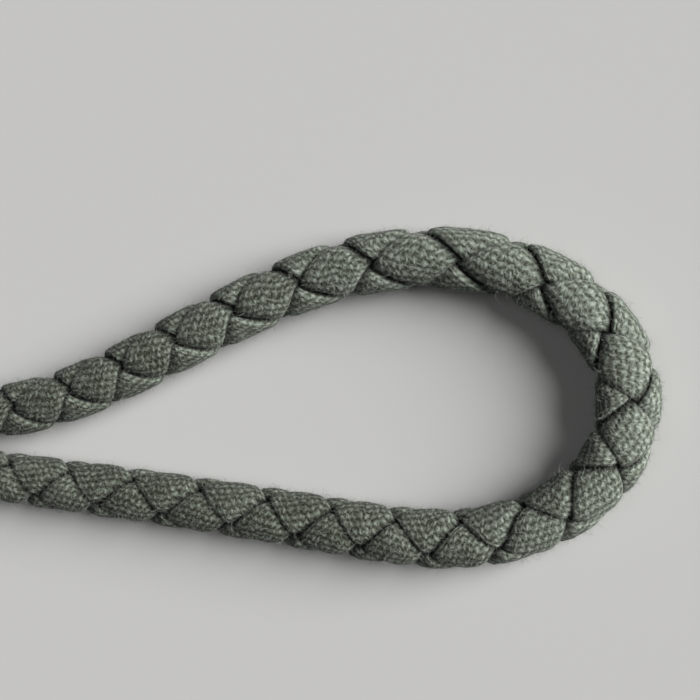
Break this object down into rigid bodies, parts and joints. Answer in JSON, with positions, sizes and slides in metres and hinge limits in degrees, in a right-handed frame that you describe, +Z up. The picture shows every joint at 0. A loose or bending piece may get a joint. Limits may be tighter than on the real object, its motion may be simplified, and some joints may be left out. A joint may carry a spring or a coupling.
{
  "type": "camera wrist strap",
  "caption": "Round-braided cotton cord laid as a long wrist loop, its ends held side by side in a leather collar with a folded tab and a steel lug ring.",
  "frame": {"origin": "middle of the collar's flat underside, on the surface that the strap lies on", "axes": "+X from the collar along the strap to the tip of the wrist loop; +Z up, away from the surface"},
  "size_m": [0.2338, 0.0498, 0.0124],
  "materials": {
    "braided_cotton": "washed olive green cotton canvas, plain weave, folded strands",
    "collar_leather": "dark brown smooth leather, fine grain",
    "ring_steel": "satin steel"
  },
  "bodies": {
    "root": {"braided_loop": "braided_cotton", "end_collar": "collar_leather", "lug_tab": "collar_leather", "lug_ring": "ring_steel"}
  },
  "joints": []
}
